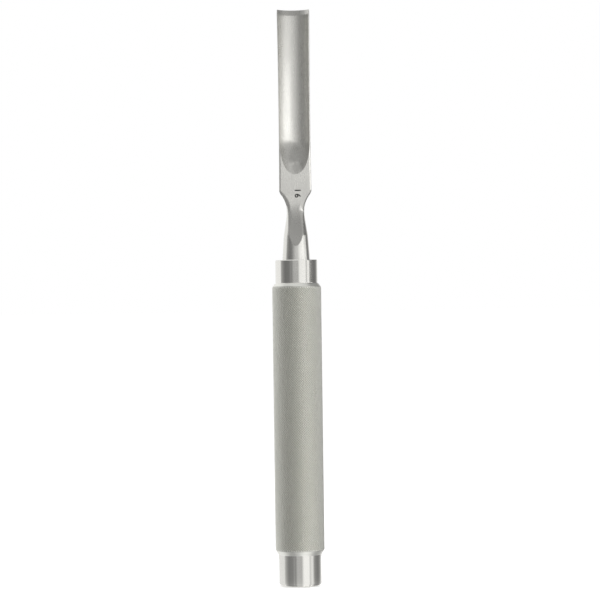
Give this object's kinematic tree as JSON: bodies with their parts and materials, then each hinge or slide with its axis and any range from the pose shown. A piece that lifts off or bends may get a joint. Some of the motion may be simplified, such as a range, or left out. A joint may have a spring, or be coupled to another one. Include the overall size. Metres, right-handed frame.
{
  "type": "bone gouge",
  "caption": "Straight bone gouge: a fluted blade on a waisted round shank, with a polished collar, a knurled round grip and a flat strike cap.",
  "frame": {"origin": "centre of the strike cap's flat end, where the tool stands", "axes": "+Z along the tool towards the cutting edge, -Y the way the flute opens, +X to the right seen from the flute's side"},
  "size_m": [0.0238, 0.0238, 0.28],
  "materials": {
    "blade_steel": "satin, with a smooth shank",
    "polished_steel": "mirror polished",
    "knurled_steel": "fine diamond knurl, matt"
  },
  "bodies": {
    "root": {"gouge_blade": "blade_steel", "front_ferrule": "polished_steel", "grip_tube": "knurled_steel", "strike_cap": "polished_steel"}
  },
  "joints": []
}
